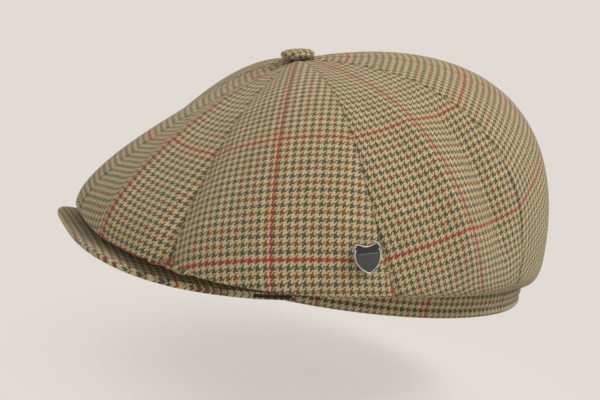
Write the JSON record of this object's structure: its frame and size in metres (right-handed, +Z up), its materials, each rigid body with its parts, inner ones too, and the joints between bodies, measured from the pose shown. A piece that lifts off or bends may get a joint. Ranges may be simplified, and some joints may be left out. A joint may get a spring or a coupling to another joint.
{
  "type": "newsboy cap",
  "caption": "Soft wool newsboy cap with a full gathered crown, covered top button, short stiff visor, head band, lining and a plain removable shield pin.",
  "frame": {"origin": "centre of the head opening, in the plane of the band's bottom edge", "axes": "-Y to the front over the visor, +X to the wearer's left, +Z up through the crown"},
  "size_m": [0.2507, 0.2765, 0.1239],
  "materials": {
    "tweed": "wool houndstooth with a red overcheck",
    "lining": "satin",
    "sweatband": "ribbed cotton tape",
    "interlining": "stiff buckram",
    "board": "matte",
    "steel": "plain",
    "silver": "polished nickel",
    "enamel_black": "gloss enamel",
    "enamel_grey": "gloss enamel",
    "brass": "plain"
  },
  "bodies": {
    "cap": {"crown_panel_front_left": "tweed", "crown_panel_side_front_left": "tweed", "crown_panel_side_back_left": "tweed", "crown_panel_back_left": "tweed", "crown_panel_back_right": "tweed", "crown_panel_side_back_right": "tweed", "crown_panel_side_front_right": "tweed", "crown_panel_front_right": "tweed", "lining_gore_front_left": "lining", "lining_gore_side_front_left": "lining", "lining_gore_side_back_left": "lining", "lining_gore_back_left": "lining", "lining_gore_back_right": "lining", "lining_gore_side_back_right": "lining", "lining_gore_side_front_right": "lining", "lining_gore_front_right": "lining", "band_cloth_left": "tweed", "band_cloth_right": "tweed", "visor_top_cloth": "tweed", "visor_under_cloth": "tweed", "button_cloth_cover": "tweed", "sweatband": "sweatband", "band_interlining": "interlining", "visor_board": "board", "button_shell": "steel", "button_post": "steel", "button_washer": "steel"},
    "shield": {"shield_plate": "silver", "shield_post": "silver", "shield_enamel_upper": "enamel_black", "shield_enamel_lower": "enamel_grey"},
    "clutch": {"clutch_cup": "brass", "clutch_spring": "brass"}
  },
  "joints": [
    {"name": "shield_pull", "type": "slide", "parent": "cap", "child": "shield", "axis": [0.9776, 0.0341, 0.2079], "range_m": [0, 0.01]},
    {"name": "clutch_slide", "type": "slide", "parent": "cap", "child": "clutch", "axis": [-0.9776, -0.0341, -0.2079], "range_m": [0, 0.0049]}
  ]
}
